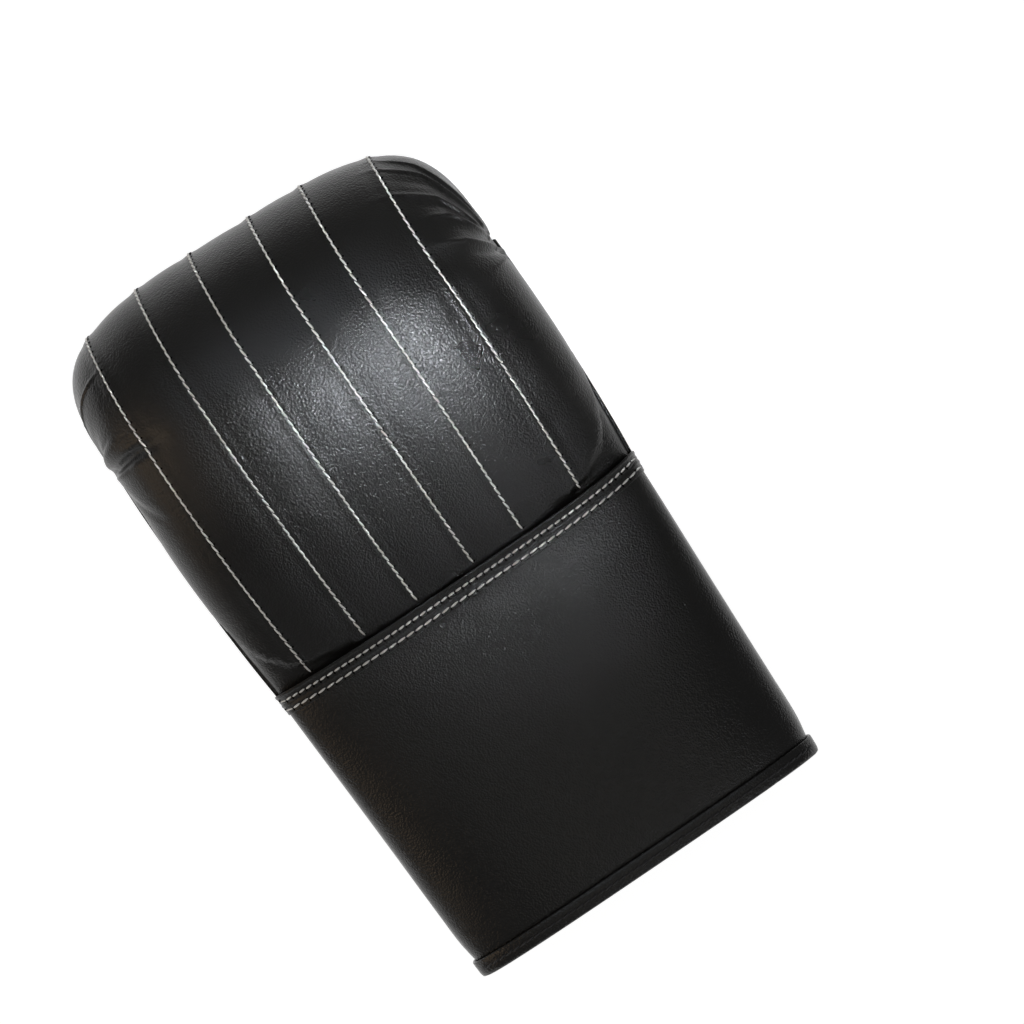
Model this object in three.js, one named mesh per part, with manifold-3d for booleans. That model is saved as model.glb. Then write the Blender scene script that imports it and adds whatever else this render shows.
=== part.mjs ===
// Bag glove for the left hand: a slip-on punching mitt of black synthetic leather, lying palm down.
// A quilted pad covers the back of the hand and curls over the knuckles into a smooth fist pad.
// Below them a plain cuff, a palm with a thumb pouch and a wide elastic make the hollow hand tube.
// Millimetres. X runs across the glove with the thumb at +X, Y from the hem to the knuckles, Z up.
import * as THREE from "three";
import { mergeVertices } from "three/addons/utils/BufferGeometryUtils.js";
import Module from "manifold-3d";

const wasm = await Module();
wasm.setup();

// Overall sizes
const gloveLength = 286; // hem to the nose of the knuckles
const gloveWidth = 166; // across the knuckles
const fistHeight = 84; // floor to the top of the knuckles
const cuffLength = 126.3; // hem to the joint under the seam band
const curlReach = 55; // centre of the curl to the nose
const curlHeight = 44; // floor to the centre of the curl
const knuckleSlant = 0.031; // how much further back the fist is for each millimetre towards the thumb

// Walls and pads
const leather = 2;
const backPadThickness = 16;
const nosePadThickness = 22;
const fistPadThickness = 25;
const rimThickness = 4; // a pad's edge at its side seam
const rimRadius = 5; // the gathered eye at each side of the curl
const palmShortfall = 1; // the palm ends this far before the centre of the curl
const clearance = 0.35; // between neighbouring pieces
const floorPress = 1.6; // how far the leather is pressed flat where it rests

// Trim
const bandWidth = 8.5;
const bandThickness = 1.5;
const bandRidge = 0.7; // the folded edge stands this much higher
const bindingWidth = 7;
const bindingThickness = 1.3;
const elasticWidth = 48;
const elasticFromHem = 35;
const elasticThickness = 1.6;

// Quilting
const quiltRows = [-0.795, -0.492, -0.205, 0.104, 0.375, 0.7]; // shares of half the glove's width
const quiltDepth = 1;
const quiltHalfWidth = 3;

// Fist pad
const fistPadRun = 58; // centre of the curl to the free edge
const fistPadInset = 4.5; // the glove's side to its edge where it leaves the curl
const fistEdgeThickness = 5;

// Thumb pouch
const thumbPivot = 24; // glove's centre line to the fold where the pouch turns across the palm
const thumbBaseReach = 46; // the pivot to the far edge of the hole
const thumbBaseWidth = 68; // the hole along the glove
const thumbBaseFromHem = 139;
const thumbLength = 84; // the pivot to the tip
const thumbDepth = 24;
const thumbLean = -0.2; // the hole leans this much across for each millimetre along
const thumbFoldGap = 1.5; // the pouch keeps this far off the palm at its fold
const thumbTaper = 0.78; // how much thinner the pouch gets where it slips under the fist pad

// Vent in the wrist's palm side, under the elastic
const ventTopFromHem = 108;
const ventLength = 50;
const ventWidth = 14;
const ventShift = 3;
const facingWidth = 6;
const facingThickness = 1;
const gussetThickness = 1.4;
const gussetMargin = 9;

const curlCentre = gloveLength - curlReach;
const palmLength = curlCentre - palmShortfall;
const fistPadHalf = gloveWidth / 2 - fistPadInset;

// The hand tube, a row for each section. at is a share of the glove's length, half of half its
// width, and top, seam and sole of the fist's height.
const bodySections = [
  { at: 0.0, half: 0.908, top: 0.355, seam: 0.155, sole: 0.027 },
  { at: 0.026, half: 0.913, top: 0.362, seam: 0.158, sole: 0.027 },
  { at: 0.05, half: 0.933, top: 0.385, seam: 0.161, sole: 0.024 },
  { at: 0.13, half: 0.94, top: 0.41, seam: 0.175, sole: 0.024 },
  { at: 0.26, half: 0.954, top: 0.45, seam: 0.22, sole: 0.045 },
  { at: 0.35, half: 0.962, top: 0.48, seam: 0.29, sole: 0.165 },
  { at: 0.438, half: 0.971, top: 0.512, seam: 0.358, sole: 0.279 },
  { at: 0.46, half: 0.975, top: 0.53, seam: 0.376, sole: 0.301 },
  { at: 0.487, half: 0.981, top: 0.59, seam: 0.401, sole: 0.324 },
  { at: 0.535, half: 0.989, top: 0.675, seam: 0.444, sole: 0.346 },
  { at: 0.6, half: 0.997, top: 0.79, seam: 0.495, sole: 0.362 },
  { at: 0.65, half: 1.0, top: 0.865, seam: 0.53, sole: 0.37 },
  { at: 0.745, half: 1.0, top: 0.968, seam: 0.572, sole: 0.39 },
  {
    at: curlCentre / gloveLength,
    half: 0.994,
    top: 1.0,
    seam: (curlHeight + rimRadius) / fistHeight,
    sole: 0.415,
  },
];

// How much of its full thickness the back pad has along the glove.
const padSections = [
  { at: 0.438, thick: 0.2 },
  { at: 0.46, thick: 0.22 },
  { at: 0.487, thick: 0.4 },
  { at: 0.535, thick: 0.62 },
  { at: 0.6, thick: 0.86 },
  { at: 0.65, thick: 1.0 },
  { at: curlCentre / gloveLength, thick: 1.0 },
];

// The leather gathers into folds that run out of the eye at each side of the curl, on the thumb's
// side (1) and the other (-1). rim and end are a fold's angles about the curl from straight up, at
// the eye and where it fades, depth a share of the pad's rim, and width is in degrees.
const gathers = [
  { side: 1, rim: -27, end: -24, depth: 0.2, width: 7 },
  { side: 1, rim: -12, end: -6, depth: 0.3, width: 6 },
  { side: 1, rim: 3, end: 10, depth: 0.4, width: 6 },
  { side: 1, rim: 27, end: 43, depth: 0.4, width: 6 },
  { side: 1, rim: 55, end: 72, depth: 0.4, width: 7 },
  { side: 1, rim: 84, end: 92, depth: 0.3, width: 7 },
  { side: 1, rim: 116, end: 110, depth: 0.3, width: 8 },
  { side: -1, rim: -40, end: -48, depth: 0.25, width: 7 },
  { side: -1, rim: -13, end: -4, depth: 0.7, width: 6 },
  { side: -1, rim: 24, end: 40, depth: 0.3, width: 8 },
  { side: -1, rim: 60, end: 66, depth: 0.25, width: 8 },
  { side: -1, rim: 92, end: 96, depth: 0.3, width: 8 },
  { side: -1, rim: 122, end: 112, depth: 0.3, width: 8 },
];

// The thumb pouch past its fold. along is a share of its length, middle of the width of its base
// hole, breadth of half that width, depth of its full depth.
const thumbSections = [
  { along: 0.0, middle: 0.07, breadth: 1.06, depth: 1.0 },
  { along: 0.3, middle: 0.11, breadth: 1.0, depth: 1.0 },
  { along: 0.6, middle: 0.15, breadth: 0.86, depth: 0.88 },
  { along: 0.85, middle: 0.15, breadth: 0.6, depth: 0.66 },
  { along: 0.96, middle: 0.15, breadth: 0.34, depth: 0.4 },
  { along: 1.0, middle: 0.15, breadth: 0.0, depth: 0.2 },
];

const radians = THREE.MathUtils.degToRad;
const degrees = THREE.MathUtils.radToDeg;
const mix = THREE.MathUtils.lerp;

function ease(from, to, value) {
  return THREE.MathUtils.smoothstep(value, from, to);
}

// Evenly spaced shares from 0 to 1.
function steps(count) {
  return Array.from({ length: count + 1 }, (_, i) => i / count);
}

// A column of a table at a place between its rows, on a curve through them that never overshoots.
function tableAt(rows, place, column, where) {
  const last = rows.length - 1;
  const i = Math.max(0, Math.min(last - 1, rows.findIndex((row) => row[place] > where) - 1));
  const found = where >= rows[last][place] ? last - 1 : i;
  const slope = (j) => {
    if (j <= 0 || j >= last) return 0;
    const before = (rows[j][column] - rows[j - 1][column]) / (rows[j][place] - rows[j - 1][place]);
    const after = (rows[j + 1][column] - rows[j][column]) / (rows[j + 1][place] - rows[j][place]);
    return before * after > 0 ? (2 * before * after) / (before + after) : 0;
  };
  const [a, b] = [rows[found], rows[found + 1]];
  const span = b[place] - a[place];
  const t = THREE.MathUtils.clamp((where - a[place]) / span, 0, 1);
  const rise = b[column] - a[column];
  const cubic = (slope(found) + slope(found + 1)) * span - 2 * rise;
  const square = 3 * rise - (2 * slope(found) + slope(found + 1)) * span;
  return a[column] + t * (slope(found) * span + t * (square + t * cubic));
}

function bodyAt(y) {
  const at = y / gloveLength;
  const column = (name) => tableAt(bodySections, "at", name, at);
  return {
    half: (column("half") * gloveWidth) / 2,
    top: column("top") * fistHeight,
    seam: column("seam") * fistHeight,
    sole: column("sole") * fistHeight,
  };
}

// Height of a rounded-square arch over a half width of 1, from 1 in the middle to 0 at its feet.
function arch(t, squareness) {
  return Math.pow(Math.max(0, 1 - Math.pow(Math.abs(t), squareness)), 1 / squareness);
}

const squareness = { back: 2.8, nose: 3.6, palm: 3.4, fist: 2.4 };

// A point of the back of the hand tube. t runs from -1 to 1 across, inset goes into the wall.
function backPoint(y, t, inset, sideInset = inset) {
  const body = bodyAt(y);
  const rise = body.top - inset - body.seam;
  return new THREE.Vector3((body.half - sideInset) * t, y, body.seam + rise * arch(t, squareness.back));
}

// A point of the palm side of the hand tube, which stops a clearance below the side seam.
function palmPoint(y, t, inset, sideInset = inset) {
  const body = bodyAt(y);
  const drop = body.seam - body.sole - inset - clearance;
  const z = body.seam - clearance - drop * arch(t, squareness.palm);
  return new THREE.Vector3((body.half - sideInset) * t, y, z);
}

// Depth of the gathered folds at a place on the side of the curl. share runs from 0 at the eye to 1.
function gatherAt(side, turn, share) {
  const fade = 1 - ease(0.15, 0.9, share);
  const away = (fold) => (turn - mix(fold.rim, fold.end, share)) / fold.width;
  const depth = gathers
    .filter((fold) => fold.side === side)
    .reduce((sum, fold) => sum + fold.depth * Math.exp(-Math.pow(away(fold), 2)), 0);
  return depth * fade * rimThickness;
}

// Depth of the sewn quilting channels at a place across the back, fading at the end of the rows.
function quiltAt(x, keep) {
  const offsets = quiltRows.map((row) => Math.abs(x - (row * gloveWidth) / 2));
  const away = Math.min(...offsets) / quiltHalfWidth;
  return quiltDepth * keep * Math.exp(-away * away);
}

// Angles in degrees about the curl from straight up: where the quilting rows fade and end, where
// the fist pad starts to narrow, and where the back pad meets the fist pad.
const curlAngles = {
  quiltFades: 86,
  quiltEnds: 96,
  fistNarrows: 110,
  seamAtMiddle: 139,
  seamAtSides: 97,
};
const seamHalf = 0.76; // share of the half width over which the seam rises to the sides

function noseSeam(t) {
  const across = Math.min(1, Math.abs(t) / seamHalf);
  return mix(curlAngles.seamAtMiddle, curlAngles.seamAtSides, Math.pow(across, 2.2));
}

// A point of the pads where they curl about the knuckles. turn is in degrees from straight up.
function curlPoint(turn, t, inner) {
  const angle = radians(turn);
  const up = Math.cos(angle) > 0;
  const upper = fistHeight - curlHeight - (inner ? backPadThickness : 0);
  const lower = curlHeight + floorPress - (inner ? fistPadThickness + floorPress : 0);
  const reach = curlReach - (inner ? nosePadThickness : 0);
  const square = mix(squareness.back, squareness.nose, Math.pow(Math.sin(angle), 2));
  const share = arch(t, square);
  const bodyHalf = bodyAt(curlCentre).half;
  const narrowed = mix(bodyHalf, fistPadHalf, ease(curlAngles.fistNarrows, 180, turn));
  const half = narrowed - (inner ? rimThickness : 0);
  const along = mix(rimRadius, reach, share);
  const over = mix(rimRadius, up ? upper : lower, share);
  const y = curlCentre + along * Math.sin(angle);
  return new THREE.Vector3(half * t, y, curlHeight + over * Math.cos(angle));
}

// Moves a point of a pad's outer skin towards the middle of the curl and inward from the side.
function pressIn(point, depth, sideDepth) {
  const centre = new THREE.Vector3(point.x, Math.min(point.y, curlCentre), curlHeight - fistHeight / 2);
  const inward = centre.sub(point).setX(0).normalize();
  point.addScaledVector(inward, depth);
  point.x -= Math.sign(point.x) * sideDepth;
  return point;
}

// A closed solid through rings of points. A wall's ring runs out along one skin and back along the
// other, so its two ends are closed by strips between the skins. Looped rings join last to first.
function loft(rings, looped = false) {
  const ringSize = rings[0].length;
  const points = rings.flat();
  const faces = [];
  const quad = (a, b, c, d) => faces.push([a, b, c], [a, c, d]);
  for (let r = 0; r < rings.length - (looped ? 0 : 1); r += 1) {
    const next = (r + 1) % rings.length;
    for (let i = 0; i < ringSize; i += 1) {
      const j = (i + 1) % ringSize;
      quad(r * ringSize + i, r * ringSize + j, next * ringSize + j, next * ringSize + i);
    }
  }
  if (!looped) {
    const end = (rings.length - 1) * ringSize;
    for (let i = 0; i < ringSize / 2 - 1; i += 1) {
      const back = ringSize - 1 - i;
      quad(i, back, back - 1, i + 1);
      quad(end + i, end + i + 1, end + back - 1, end + back);
    }
  }
  return solidGeometry(points, faces);
}

// A geometry from points and triangles, with doubled points merged, collapsed faces left out and
// the faces turned outwards.
function solidGeometry(points, faces) {
  const loose = new THREE.BufferGeometry().setFromPoints(points);
  loose.setIndex(faces.flat());
  const merged = mergeVertices(loose, 1e-3);
  const index = merged.index.array;
  const kept = [];
  for (let i = 0; i < index.length; i += 3) {
    const [a, b, c] = [index[i], index[i + 1], index[i + 2]];
    if (a !== b && b !== c && c !== a) kept.push(a, b, c);
  }
  const position = merged.getAttribute("position");
  const corner = [new THREE.Vector3(), new THREE.Vector3(), new THREE.Vector3()];
  let volume = 0;
  for (let i = 0; i < kept.length; i += 3) {
    corner.forEach((v, k) => v.fromBufferAttribute(position, kept[i + k]));
    volume += corner[0].dot(corner[1].clone().cross(corner[2]));
  }
  if (volume < 0) kept.reverse();
  const geometry = new THREE.BufferGeometry();
  geometry.setAttribute("position", position);
  geometry.setIndex(kept);
  return geometry;
}

// A wall between an outer and an inner skin, each a list of rows of points across.
function wall(outer, inner) {
  return loft(outer.map((row, i) => [...row, ...inner[i].slice().reverse()]));
}

function toManifold(geometry) {
  const bare = geometry.clone();
  bare.deleteAttribute("normal");
  bare.deleteAttribute("uv");
  const merged = mergeVertices(bare, 1e-4);
  return new wasm.Manifold(
    new wasm.Mesh({
      numProp: 3,
      vertProperties: new Float32Array(merged.getAttribute("position").array),
      triVerts: new Uint32Array(merged.index.array),
    }),
  );
}

function toGeometry(solid) {
  const mesh = solid.getMesh();
  const result = new THREE.BufferGeometry();
  result.setAttribute("position", new THREE.BufferAttribute(mesh.vertProperties, 3));
  result.setIndex(new THREE.BufferAttribute(mesh.triVerts, 1));
  return result;
}

function cut(geometry, ...tools) {
  return toGeometry(tools.reduce((left, tool) => left.subtract(toManifold(tool)), toManifold(geometry)));
}

// What of a piece lies inside one outline and outside another.
function trim(geometry, outer, inner) {
  return toGeometry(toManifold(geometry).intersect(toManifold(outer)).subtract(toManifold(inner)));
}

// Shares across a wall from -1 to 1, closer together at the rounded sides.
function across(count, squareness) {
  return steps(count).map((share) => {
    const angle = radians(mix(-90, 90, share));
    return Math.sign(Math.sin(angle)) * Math.pow(Math.abs(Math.sin(angle)), 2 / squareness);
  });
}

const backColumns = across(22, squareness.back);
const palmColumns = across(20, squareness.palm);

const glove = new THREE.Group();

// The line of the knuckles is slanted, so everything past the cuff leans with it.
function slantKnuckles(geometry) {
  const position = geometry.getAttribute("position");
  for (let i = 0; i < position.count; i += 1) {
    const y = position.getY(i);
    position.setY(i, y - knuckleSlant * position.getX(i) * ease(cuffLength, curlCentre, y));
  }
  return geometry;
}

function addPiece(name, unslanted, finish) {
  const geometry = slantKnuckles(unslanted);
  const mesh = new THREE.Mesh(geometry, finish);
  mesh.name = name;
  glove.add(mesh);
  return mesh;
}

const smoothLeather = new THREE.MeshStandardMaterial({ color: "#17181a", roughness: 0.42 });
const bindingLeather = new THREE.MeshStandardMaterial({ color: "#101113", roughness: 0.5 });
const elasticWeb = new THREE.MeshStandardMaterial({ color: "#202124", roughness: 0.9 });

// Rows of a sheet that starts at the hem: close together under the binding, which draws it in.
function hemRows(count, to) {
  const even = steps(count).map((share) => mix(bindingWidth * 2, to, share));
  return [bindingThickness + clearance, bindingWidth, ...even];
}

// The cuff is one plain sheet across the back of the wrist, from the hem to the joint.
function cuffGeometry() {
  const rows = hemRows(3, cuffLength);
  const skin = (inset) => rows.map((y) => backColumns.map((t) => backPoint(y, t, inset)));
  return wall(skin(0), skin(leather));
}

// The columns of both pads: two beside each quilting row, one on it and one between rows, and
// more at the rounded sides.
function padColumns() {
  const aside = quiltHalfWidth / (gloveWidth / 2);
  const shares = quiltRows.flatMap((row, i) => {
    const around = [row - aside, row, row + aside];
    return i < quiltRows.length - 1 ? [...around, mix(row, quiltRows[i + 1], 0.5)] : around;
  });
  const rounded = [0.25, 0.5, 0.72, 0.9, 1].map((share) => Math.sin(radians(90 * share)));
  const side = (from) => rounded.map((share) => mix(from, 1, share));
  const right = side(shares[shares.length - 1]);
  const left = side(-shares[0]).map((t) => -t).reverse();
  return [...left, ...shares, ...right];
}

// The back pad is quilted foam under leather: it rises behind the seam band, covers the back of
// the hand and curls over the nose to the seam with the fist pad.
function backPadGeometry() {
  const columns = padColumns();
  const start = cuffLength + clearance;
  const straight = [0, 0.045, 0.12, 0.22, 0.37, 0.54, 0.7, 0.82, 0.92, 1];
  const curlSteps = 18;
  const halfAtKnuckles = gloveWidth / 2;
  const rowsOf = (inner) => {
    const rows = straight.map((share) => {
      const y = mix(start, curlCentre, share);
      const full = backPadThickness * tableAt(padSections, "at", "thick", y / gloveLength);
      return columns.map((t) => {
        if (inner) return backPoint(y, t, full, Math.min(rimThickness, full));
        const point = backPoint(y, t, 0);
        const keep = ease(0.02, 0.1, share);
        const turn = degrees(Math.atan2(y - curlCentre, curlHeight / 2));
        const fold = gatherAt(Math.sign(t), turn, arch(t, squareness.back)) * ease(0.55, 0.8, share);
        return pressIn(point, quiltAt(halfAtKnuckles * t, keep), fold);
      });
    });
    for (let k = 1; k <= curlSteps; k += 1) {
      rows.push(
        columns.map((t) => {
          const point = curlPoint((noseSeam(t) * k) / curlSteps, t, inner);
          const middle = new THREE.Vector2(point.y - curlCentre, point.z - curlHeight);
          const backOff = clearance / 2 / Math.max(rimRadius, middle.length());
          const turn = (noseSeam(t) * k) / curlSteps - (k === curlSteps ? degrees(backOff) : 0);
          const placed = curlPoint(turn, t, inner);
          if (inner) return placed;
          const keep = 1 - ease(curlAngles.quiltFades, curlAngles.quiltEnds, turn);
          const fold = gatherAt(Math.sign(t), turn, arch(t, squareness.nose));
          return pressIn(placed, quiltAt(halfAtKnuckles * t, keep), fold);
        }),
      );
    }
    return rows;
  };
  return wall(rowsOf(false), rowsOf(true));
}

// The fist pad is a smooth dome sewn to the back pad along the nose seam. It lies under the
// fingers, and its far edge is free.
function fistPadGeometry() {
  const columns = padColumns();
  const curlSteps = 9;
  const runSteps = 8;
  const rowsOf = (inner) => {
    const rows = steps(curlSteps).map((share) =>
      columns.map((t) => {
        const seam = noseSeam(t);
        const rough = curlPoint(seam, t, inner);
        const middle = new THREE.Vector2(rough.y - curlCentre, rough.z - curlHeight);
        const backOff = share === 0 ? degrees(clearance / 2 / Math.max(rimRadius, middle.length())) : 0;
        const turn = mix(seam + backOff, 180, share);
        const point = curlPoint(turn, t, inner);
        const fold = inner ? 0 : gatherAt(Math.sign(t), turn, arch(t, squareness.nose));
        return pressIn(point, 0, fold);
      }),
    );
    for (let k = 1; k <= runSteps; k += 1) {
      const run = Math.sin(radians((86 * k) / runSteps));
      rows.push(columns.map((t) => fistRunPoint(run, t, inner)));
    }
    return rows;
  };
  const onFloor = (rows) => rows.map((row) => row.map((p) => p.setZ(Math.max(0, p.z))));
  return wall(onFloor(rowsOf(false)), rowsOf(true));
}

// A point of the fist pad's straight run. run goes from 0 under the curl to 1 at the free edge.
function fistRunPoint(run, t, inner) {
  const half = fistPadHalf * Math.pow(1 - Math.pow(run, 1.8), 0.62);
  const square = mix(squareness.back, squareness.fist, ease(0, 0.35, run));
  const roll = Math.sqrt(1 - Math.pow(run, 4));
  const rimHeight = mix(curlHeight - rimRadius, fistPadThickness * 0.5, ease(-0.1, 0.6, run));
  const edge = inner ? fistEdgeThickness * ease(0, 0.3, run) * roll : 0;
  const middle = inner
    ? mix(rimHeight, mix(fistPadThickness, fistPadThickness * 0.72, run), roll)
    : mix(rimHeight, -floorPress, roll);
  const x = (half - (inner ? rimThickness * (1 - run) : 0)) * t;
  const z = rimHeight + edge + (middle - rimHeight - edge) * arch(t, square);
  return new THREE.Vector3(x, curlCentre - fistPadRun * run, z);
}

// The ring of the thumb pouch at an angle of its fold, then along the palm to its tip.
function thumbRing(fold, along, inset, count = 18) {
  const angle = radians(fold);
  const bent = fold / 90;
  const column = (name) => tableAt(thumbSections, "along", name, along);
  const middle = thumbBaseFromHem + column("middle") * thumbBaseWidth * bent;
  const breadth = mix(thumbBaseWidth / 2, (thumbBaseWidth / 2) * column("breadth"), bent);
  const reach = mix(thumbBaseReach, thumbDepth * column("depth"), bent);
  const halfBreadth = Math.max(0, breadth - inset);
  const centre = (reach + thumbFoldGap) / 2;
  const halfReach = Math.max(0, (reach - thumbFoldGap) / 2 - inset);
  return steps(count)
    .slice(0, count)
    .map((share) => {
      const around = 2 * Math.PI * share;
      const flat = Math.sin(around) < 0 ? mix(2.3, 3.6, bent) : 2.3;
      const c = Math.sign(Math.cos(around)) * Math.pow(Math.abs(Math.cos(around)), 2 / flat);
      const s = Math.sign(Math.sin(around)) * Math.pow(Math.abs(Math.sin(around)), 2 / flat);
      const y = middle + halfBreadth * c;
      const thin = 1 - thumbTaper * Math.pow(Math.max(0, c), 1.5) * bent;
      const r = thumbFoldGap + (centre + halfReach * s - thumbFoldGap) * thin;
      const lean = thumbLean * (y - thumbBaseFromHem) * (1 - bent);
      const x = thumbPivot + r * Math.cos(angle) + lean - along * thumbLength;
      const palm = palmPoint(y, THREE.MathUtils.clamp(x / bodyAt(y).half, -0.95, 0.95), 0).z;
      return new THREE.Vector3(x, y, palm - r * Math.sin(angle) - clearance * bent);
    });
}

// The thumb pouch is a hollow sock. Its collar stands in the palm's hole, and it folds across the
// palm away from the thumb's side to a closed tip.
function thumbGeometry() {
  const folds = [0, 15, 30, 45, 60, 75, 90];
  const alongs = [0.15, 0.3, 0.45, 0.6, 0.75, 0.86, 0.94, 0.98, 1];
  const skin = (inset) => {
    const collar = thumbRing(0, 0, inset).map((p) => p.setZ(p.z + leather * 0.8));
    const bend = folds.map((fold) => thumbRing(fold, 0, inset));
    const reach = 1 - inset / thumbLength;
    const pouch = alongs.map((along) => thumbRing(90, along * reach, inset));
    const tip = pouch[pouch.length - 1];
    const centre = tip.reduce((sum, p) => sum.add(p), new THREE.Vector3()).divideScalar(tip.length);
    tip.forEach((p) => p.copy(centre));
    return [collar, ...bend, ...pouch];
  };
  const rings = [...skin(0), ...skin(leather).reverse()];
  return onFloorGeometry(loft(rings, true));
}

// Leather that would reach below the floor lies flat on it.
function onFloorGeometry(geometry) {
  const position = geometry.getAttribute("position");
  for (let i = 0; i < position.count; i += 1) {
    position.setZ(i, Math.max(0, position.getZ(i)));
  }
  return geometry;
}

// A prism through the palm's wall, cut along an outline seen from above.
function prism(outline) {
  const shape = new THREE.Shape(outline);
  const geometry = new THREE.ExtrudeGeometry(shape, { depth: fistHeight, bevelEnabled: false });
  return geometry.translate(0, 0, -fistHeight / 4);
}

function ventOutline(grow) {
  const foot = ventTopFromHem - ventLength;
  return [
    new THREE.Vector2(ventShift - ventWidth * 0.36, ventTopFromHem + grow * 2.2),
    new THREE.Vector2(ventShift - ventWidth / 2 - grow, foot),
    new THREE.Vector2(ventShift + ventWidth / 2 + grow, foot),
  ];
}

// The palm is one sheet from the hem to its upper seam, with the thumb's hole and the wrist vent.
function palmGeometry() {
  const rows = hemRows(15, palmLength);
  const skin = (inset) => rows.map((y) => palmColumns.map((t) => palmPoint(y, t, inset)));
  const hole = thumbRing(0, 0, -clearance).map((p) => new THREE.Vector2(p.x, p.y));
  return cut(wall(skin(0), skin(leather)), prism(hole), prism(ventOutline(0)));
}

// The facing is a narrow strip that runs down both sides of the vent from a point above it.
function facingGeometry() {
  const from = elasticFromHem + elasticWidth + clearance * 4;
  const to = ventTopFromHem + facingWidth * 3;
  const rows = steps(6).map((share) => mix(from, to, share));
  const reach = ventWidth / 2 + facingWidth * 2;
  const columns = steps(8).map((share) => ventShift + reach * mix(-1, 1, share));
  const skin = (lift) => rows.map((y) => columns.map((x) => palmPoint(y, x / bodyAt(y).half, -lift)));
  const sheet = wall(skin(clearance + facingThickness), skin(clearance));
  const ventEdges = ventOutline(0);
  const outline = ventOutline(facingWidth);
  return trim(sheet, prism(outline), prism(ventEdges));
}

// A soft tongue behind the vent closes it from inside.
function gussetGeometry() {
  const foot = ventTopFromHem - ventLength - gussetMargin;
  const head = ventTopFromHem + gussetMargin;
  const inset = leather + clearance * 3;
  const rows = steps(8).map((share) => mix(foot, head, share));
  const columns = steps(6).map((share) => mix(-1, 1, share));
  const skin = (depth) =>
    rows.map((y) => {
      const half = ventWidth / 2 + gussetMargin;
      return columns.map((side) => palmPoint(y, (ventShift + half * side) / bodyAt(y).half, depth));
    });
  return wall(skin(inset), skin(inset + gussetThickness));
}

// The finger pocket continues the palm inside the curl, behind the pads' rims.
function fingerPocketGeometry() {
  const from = palmLength + clearance;
  const to = curlCentre + rimRadius + leather;
  const top = curlHeight + rimRadius;
  const drop = curlHeight - fistPadThickness - clearance * 2;
  const padHalf = Math.min(bodyAt(curlCentre).half, fistPadHalf + rimThickness);
  const half = padHalf - rimThickness - leather - clearance * 2;
  const reach = curlReach - nosePadThickness;
  const skin = (inset) =>
    steps(6).map((share) => {
      const y = mix(from, to, share);
      const past = Math.max(0, (y - curlCentre) / reach);
      const floor = curlHeight - drop * Math.sqrt(1 - past * past);
      const sole = Math.max(floor, mix(bodyAt(y).sole + leather, floor, ease(from, curlCentre, y)));
      const height = (t) => top - (top - sole - inset) * arch(t, squareness.palm);
      return palmColumns.map((t) => new THREE.Vector3((half - inset) * t, y, height(t)));
    });
  return wall(skin(0), skin(leather));
}

// The band is a folded strip, sewn over the joint of the cuff and the back pad. Its ends thin out
// where they are sewn into the side seams.
function seamBandGeometry() {
  const profile = [
    { at: -0.5, lift: 0.8 },
    { at: -0.05, lift: 1.0 },
    { at: 0.3, lift: 1.0 },
    { at: 0.5, lift: 1.0 + bandRidge / bandThickness },
  ];
  const under = clearance;
  const rowAt = (share, lift, sideLift) =>
    backColumns.map((t) => backPoint(cuffLength + share * bandWidth, t, -lift, -sideLift));
  const side = under + bandThickness * 0.1;
  const outer = profile.map((p) => rowAt(p.at, under + bandThickness * p.lift, side));
  const inner = profile.map((p) => rowAt(p.at, under, under));
  return wall(outer, inner);
}

// The elastic is a wide woven web across the palm side of the wrist, between the side seams.
function elasticGeometry() {
  const columns = palmColumns.slice(1, -1);
  const loose = clearance * 3;
  const rows = steps(4).map((share) => elasticFromHem + elasticWidth * share);
  const skin = (lift, side) => rows.map((y) => columns.map((t) => palmPoint(y, t, -lift, -side)));
  const outer = skin(loose + elasticThickness, clearance / 2 + elasticThickness * 0.3);
  return wall(
    outer.map((row) => row.map((p) => p.setZ(Math.max(0, p.z)))),
    skin(loose, clearance / 2),
  );
}

// The binding is a folded strip round the whole hem, inside and out.
function hemBindingGeometry() {
  const around = [
    ...backColumns.map((t) => ({ t, palm: false })),
    ...palmColumns.slice(1, -1).reverse().map((t) => ({ t, palm: true })),
  ];
  const gap = clearance * 1.6;
  const outside = -(gap + bindingThickness);
  const inside = leather + gap + bindingThickness;
  const section = [
    { y: bindingWidth, inset: outside },
    { y: 0, inset: outside },
    { y: 0, inset: inside },
    { y: bindingWidth, inset: inside },
    { y: bindingWidth, inset: leather + gap },
    { y: bindingThickness, inset: leather + gap },
    { y: bindingThickness, inset: -gap },
    { y: bindingWidth, inset: -gap },
  ];
  const rings = around.map(({ t, palm }) =>
    section.map(({ y, inset }) => (palm ? palmPoint(y, t, inset) : backPoint(y, t, inset))),
  );
  return onFloorGeometry(loft(rings, true));
}

addPiece("back_pad", backPadGeometry(), smoothLeather);
addPiece("fist_pad", fistPadGeometry(), smoothLeather);
addPiece("cuff", cuffGeometry(), smoothLeather);
addPiece("palm", palmGeometry(), smoothLeather);
addPiece("thumb_pouch", thumbGeometry(), smoothLeather);
addPiece("finger_pocket", fingerPocketGeometry(), smoothLeather);
addPiece("vent_gusset", gussetGeometry(), smoothLeather);
addPiece("vent_facing", facingGeometry(), smoothLeather);
addPiece("seam_band", seamBandGeometry(), bindingLeather);
addPiece("hem_binding", hemBindingGeometry(), bindingLeather);
addPiece("wrist_elastic", elasticGeometry(), elasticWeb);

// The glove rests on the floor at the middle of its own outline.
const bounds = new THREE.Box3().setFromObject(glove);
const middle = bounds.getCenter(new THREE.Vector3());
glove.children.forEach((piece) => piece.position.set(-middle.x, -middle.y, -bounds.min.z));

export default glove;
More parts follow.
